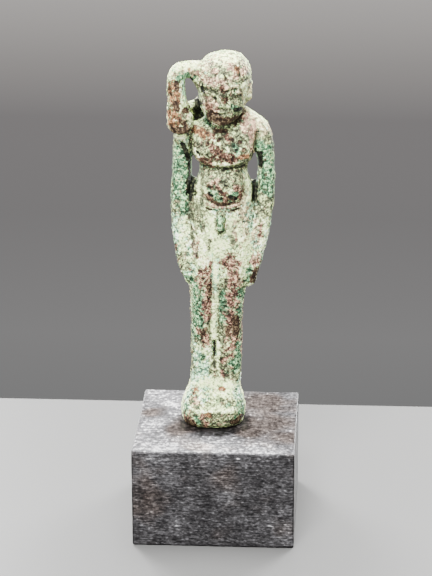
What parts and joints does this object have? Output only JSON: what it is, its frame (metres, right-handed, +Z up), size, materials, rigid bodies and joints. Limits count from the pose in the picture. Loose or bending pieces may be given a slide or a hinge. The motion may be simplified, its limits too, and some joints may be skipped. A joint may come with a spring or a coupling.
{
  "type": "bronze statuette on plinth",
  "caption": "Small corroded cast bronze of a standing nude youth with a side lock, arms at the sides, on a square block of dark wood.",
  "frame": {"origin": "centre of the plinth's underside", "axes": "+Z up, -Y is the plinth's front face; the statuette looks along -Y, turned 3.5 degrees towards +X"},
  "size_m": [0.038, 0.038, 0.1142],
  "materials": {
    "bronze": "matte pale green corrosion over dark metal, with red-brown patches and pits",
    "plinth_wood": "ebonised, worn satin, with fine open grain"
  },
  "bodies": {
    "root": {"figure": "bronze", "plinth": "plinth_wood"}
  },
  "joints": []
}
